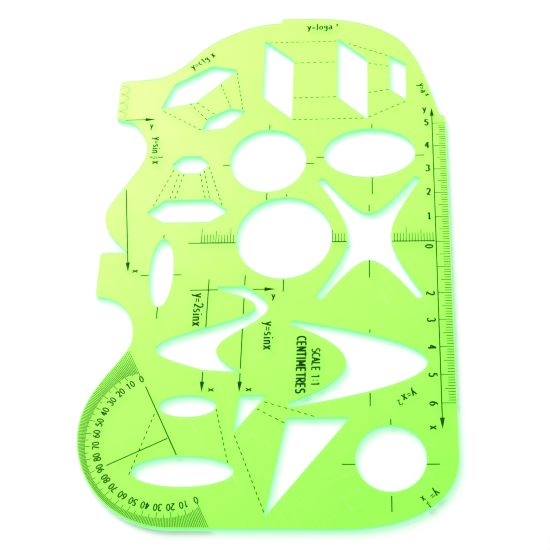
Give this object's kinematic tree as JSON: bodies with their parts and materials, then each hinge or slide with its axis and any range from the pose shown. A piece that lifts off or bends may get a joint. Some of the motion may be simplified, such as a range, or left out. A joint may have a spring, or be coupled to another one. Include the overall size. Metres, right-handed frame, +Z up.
{
  "type": "maths drawing template",
  "caption": "Flat clear green plastic template with function-curve edges, shape openings, a printed centimetre ruler and a protractor.",
  "frame": {"origin": "middle of the sheet's outline, on its underside", "axes": "+Z up out of the printed face, +Y along the ruler from its 6 towards its 5, +X from the protractor's side to the ruler's edge"},
  "size_m": [0.12, 0.203, 0.002],
  "materials": {
    "clear_sheet": "glossy, clear with a fluorescent green tint",
    "green_print": "dark green screen-print ink"
  },
  "bodies": {
    "root": {"sheet": "clear_sheet", "ruler_axis": "green_print", "ruler_divisions": "green_print", "ruler_numbers": "green_print", "cross_scale": "green_print", "axis_letters": "green_print", "degree_lines": "green_print", "degree_numbers": "green_print", "protractor_base": "green_print", "circle_centre_marks": "green_print", "ellipse_centre_marks": "green_print", "star_centre_marks": "green_print", "parabola_centre_marks": "green_print", "sine_axes": "green_print", "half_sine_axes": "green_print", "tab_scallops": "green_print", "prism_hidden_lines": "green_print", "frustum_hidden_lines": "green_print", "hexagon_hidden_lines": "green_print", "cone_hidden_lines": "green_print", "pyramid_hidden_lines": "green_print", "logarithm_label": "green_print", "power_label": "green_print", "cotangent_label": "green_print", "half_sine_label": "green_print", "double_sine_label": "green_print", "sine_label": "green_print", "parabola_label": "green_print", "reciprocal_label": "green_print", "scale_caption": "green_print"}
  },
  "joints": []
}
